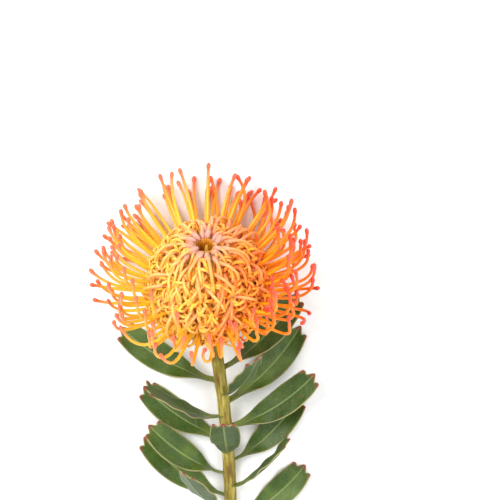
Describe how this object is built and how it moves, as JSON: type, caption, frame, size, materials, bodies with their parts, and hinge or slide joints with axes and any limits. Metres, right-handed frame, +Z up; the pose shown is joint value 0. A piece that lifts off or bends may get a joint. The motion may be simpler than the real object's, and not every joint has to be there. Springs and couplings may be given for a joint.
{
  "type": "pincushion protea flower",
  "caption": "Cut pincushion protea lying on its side: round orange flower head of wiry styles on a short leafy stem with toothed leaves.",
  "frame": {"origin": "middle of the whole part's box, on the surface that it lies on", "axes": "+Z up from the surface, +Y from the stem's cut end towards the flower head, +X to the right when looking along +Y"},
  "size_m": [0.1286, 0.2207, 0.098],
  "materials": {
    "floret": "waxy golden orange styles with coral tips",
    "bract": "downy pale green",
    "stem": "matt yellow-green bark",
    "leaf": "leathery mid green, paler margin"
  },
  "bodies": {
    "root": {"flower_head": "floret", "involucre": "bract", "stem": "stem", "leaf_01": "leaf", "leaf_02": "leaf", "leaf_03": "leaf", "leaf_04": "leaf", "leaf_05": "leaf", "leaf_06": "leaf", "leaf_07": "leaf", "leaf_08": "leaf", "leaf_09": "leaf", "leaf_10": "leaf", "leaf_11": "leaf", "leaf_12": "leaf", "leaf_13": "leaf", "leaf_14": "leaf"}
  },
  "joints": []
}
